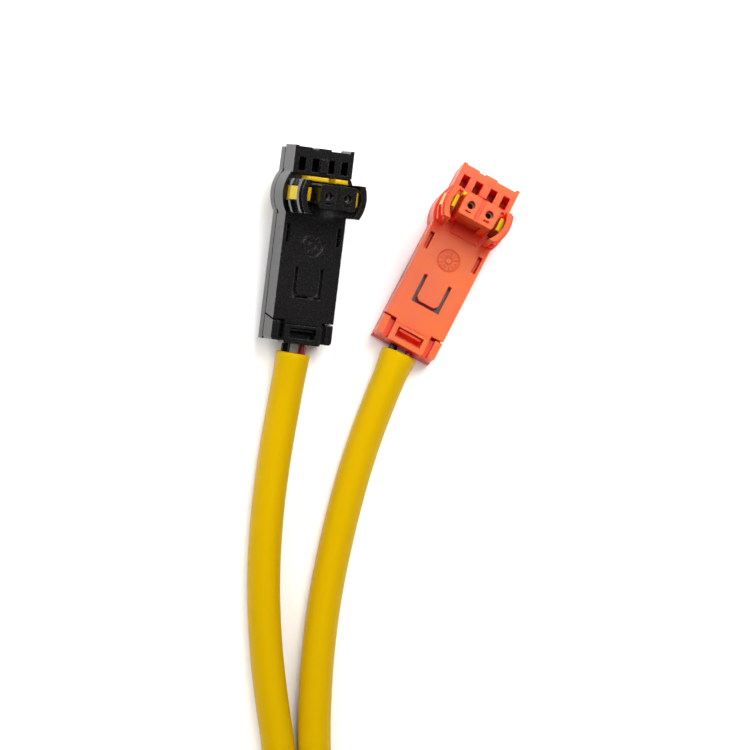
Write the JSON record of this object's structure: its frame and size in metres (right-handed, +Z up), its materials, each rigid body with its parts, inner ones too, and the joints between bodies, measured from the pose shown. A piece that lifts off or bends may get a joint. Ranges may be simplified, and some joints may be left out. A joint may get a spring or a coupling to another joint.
{
  "type": "airbag connector lead pair",
  "caption": "Pair of airbag leads, black and orange right-angle squib connectors on yellow sleeved wires with lock sliders, joined by a plain in-line plug.",
  "frame": {"origin": "foot of the orange connector's plug axis, on its back face and the surface it lies on", "axes": "+Z up along the orange plug, +Y from the orange connector's wire end to its head"},
  "size_m": [0.0882, 0.1733, 0.0206],
  "materials": {
    "orange_plastic": "satin",
    "black_plastic": "satin",
    "yellow_lock": "satin",
    "yellow_sleeve": "matte",
    "black_wire": "satin",
    "red_wire": "satin",
    "tinned_copper": "satin",
    "spring_steel": "satin",
    "ferrite": "matte",
    "far_plug_plastic": "satin"
  },
  "bodies": {
    "root": {"orange_housing": "orange_plastic", "orange_rear_cover": "orange_plastic", "orange_wire_end_cap": "orange_plastic", "orange_terminal_left": "tinned_copper", "orange_terminal_right": "tinned_copper", "orange_shorting_clip": "spring_steel", "orange_ferrite_core": "ferrite", "orange_wire_black": "black_wire", "orange_wire_red": "red_wire", "orange_sleeve": "yellow_sleeve", "black_housing": "black_plastic", "black_rear_cover": "black_plastic", "black_wire_end_cap": "black_plastic", "black_terminal_left": "tinned_copper", "black_terminal_right": "tinned_copper", "black_shorting_clip": "spring_steel", "black_ferrite_core": "ferrite", "black_wire_black": "black_wire", "black_wire_red": "red_wire", "black_sleeve": "yellow_sleeve", "far_plug_housing": "far_plug_plastic", "far_plug_lock": "yellow_lock", "far_plug_terminals": "tinned_copper"},
    "orange_lock": {"orange_lock_slider": "yellow_lock"},
    "black_lock": {"black_lock_slider": "yellow_lock"}
  },
  "joints": [
    {"name": "orange_lock_slide", "type": "slide", "parent": "root", "child": "orange_lock", "axis": [0, 0, -1], "range_m": [0, 0.0022]},
    {"name": "black_lock_slide", "type": "slide", "parent": "root", "child": "black_lock", "axis": [-0.2878, 0.0618, -0.9557], "range_m": [0, 0.0022]}
  ]
}
